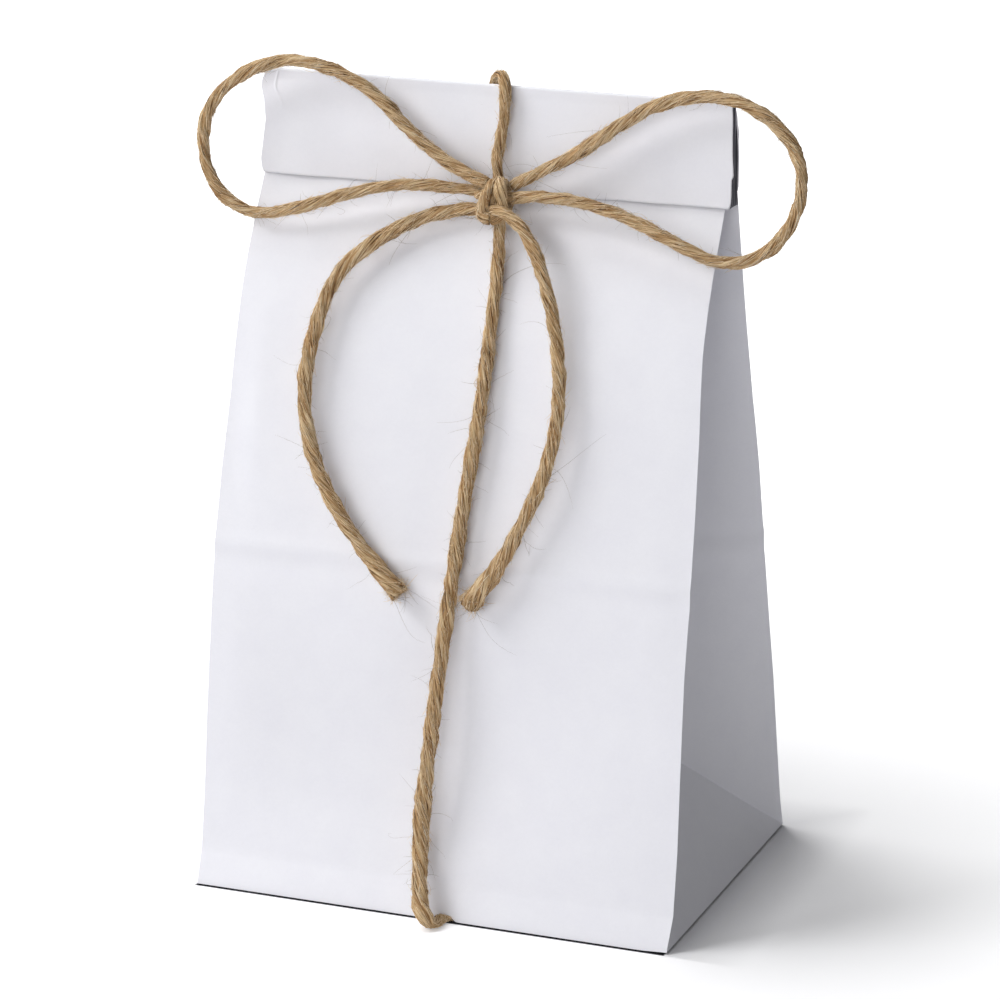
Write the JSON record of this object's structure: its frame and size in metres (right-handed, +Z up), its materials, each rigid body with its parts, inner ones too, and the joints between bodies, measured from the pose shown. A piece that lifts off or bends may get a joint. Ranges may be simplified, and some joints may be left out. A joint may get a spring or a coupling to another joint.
{
  "type": "square bottom paper bag",
  "caption": "Upright square-bottom paper bag with side gussets and a mouth folded forward, wrapped front to back with jute twine tied in a bow.",
  "frame": {"origin": "middle of the base, on the surface that the bag stands on", "axes": "+Z up along the bag's height, -Y the front where the mouth's flap and the bow are, +X to the right seen from the front"},
  "size_m": [0.168, 0.1089, 0.2181],
  "materials": {
    "bleached_kraft_paper": "uncoated bleached kraft paper, matt",
    "jute_twine": "natural three-ply jute, hairy"
  },
  "bodies": {
    "root": {"paper_bag": "bleached_kraft_paper", "twine_wrap": "jute_twine", "bow_knot": "jute_twine", "bow_loop_left": "jute_twine", "bow_loop_right": "jute_twine", "bow_tail_left": "jute_twine", "bow_tail_right": "jute_twine"}
  },
  "joints": []
}
